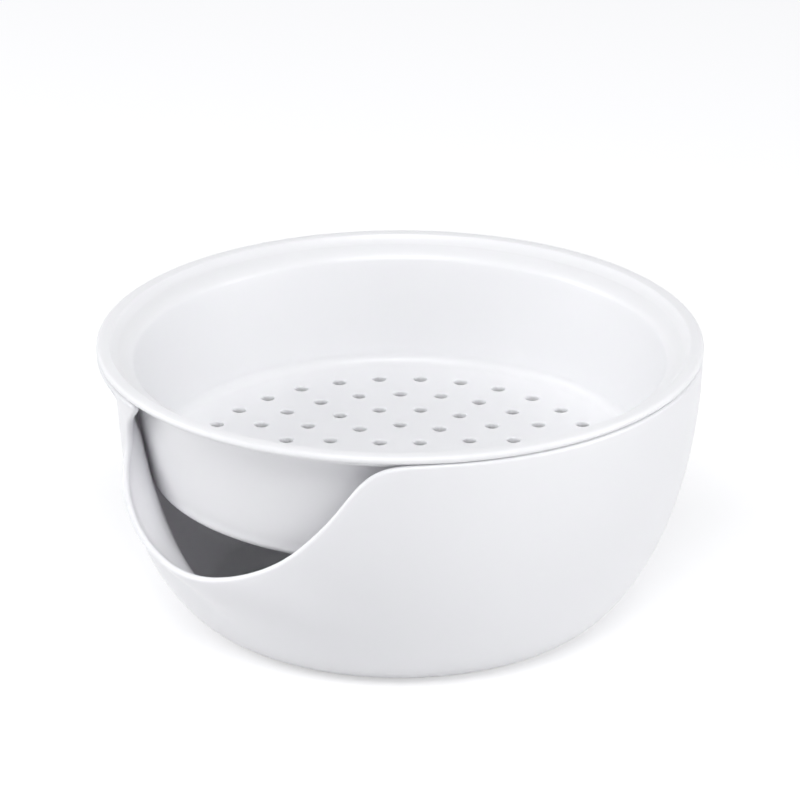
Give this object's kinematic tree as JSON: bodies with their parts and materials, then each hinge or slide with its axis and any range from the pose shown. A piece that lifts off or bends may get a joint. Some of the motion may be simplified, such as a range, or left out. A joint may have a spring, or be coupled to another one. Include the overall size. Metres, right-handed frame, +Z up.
{
  "type": "colander with bowl",
  "caption": "Round drained colander resting by its flange in a deep bowl whose wall sweeps down into a scooped side opening, for rinsing, draining and serving.",
  "frame": {"origin": "on the table under the middle of the bowl's base", "axes": "+Z up, -Y the front, +X to the right of a viewer who stands in front"},
  "size_m": [0.23, 0.23, 0.107],
  "materials": {
    "bowl_plastic": "moulded, satin gloss white",
    "colander_plastic": "moulded, satin gloss white"
  },
  "bodies": {
    "bowl": {"outer_bowl": "bowl_plastic"},
    "colander": {"colander": "colander_plastic"}
  },
  "joints": [
    {"name": "colander_lift", "type": "slide", "parent": "bowl", "child": "colander", "axis": [0, 0, 1], "range_m": [0, 0.13]}
  ]
}
